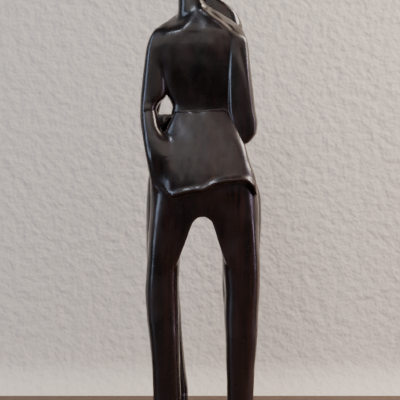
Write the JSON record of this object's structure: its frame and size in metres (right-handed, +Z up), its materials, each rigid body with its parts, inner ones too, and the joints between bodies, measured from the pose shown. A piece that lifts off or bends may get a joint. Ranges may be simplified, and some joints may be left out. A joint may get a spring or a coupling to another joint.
{
  "type": "carved hardwood couple",
  "caption": "Slender standing couple in an embrace, carved in dark polished hardwood on an oval base; a free-standing display carving.",
  "frame": {"origin": "centre of the oval base's underside, on the surface that the carving stands on", "axes": "+Z up, from the base to the heads; +Y is the way the shorter figure looks, and -Y the way the taller figure looks; +X is to the right of someone who looks along +Y"},
  "size_m": [0.104, 0.086, 0.421],
  "materials": {
    "dark_hardwood": "polished, with a thin wax or oil finish"
  },
  "bodies": {
    "root": {"base": "dark_hardwood", "shorter_head": "dark_hardwood", "shorter_hips": "dark_hardwood", "shorter_left_foot": "dark_hardwood", "shorter_left_forearm": "dark_hardwood", "shorter_left_leg": "dark_hardwood", "shorter_left_upper_arm": "dark_hardwood", "shorter_neck": "dark_hardwood", "shorter_right_foot": "dark_hardwood", "shorter_right_forearm": "dark_hardwood", "shorter_right_leg": "dark_hardwood", "shorter_right_upper_arm": "dark_hardwood", "shorter_torso": "dark_hardwood", "taller_head": "dark_hardwood", "taller_hips": "dark_hardwood", "taller_left_foot": "dark_hardwood", "taller_left_forearm": "dark_hardwood", "taller_left_leg": "dark_hardwood", "taller_left_upper_arm": "dark_hardwood", "taller_neck": "dark_hardwood", "taller_right_foot": "dark_hardwood", "taller_right_forearm": "dark_hardwood", "taller_right_leg": "dark_hardwood", "taller_right_upper_arm": "dark_hardwood", "taller_torso": "dark_hardwood"}
  },
  "joints": []
}
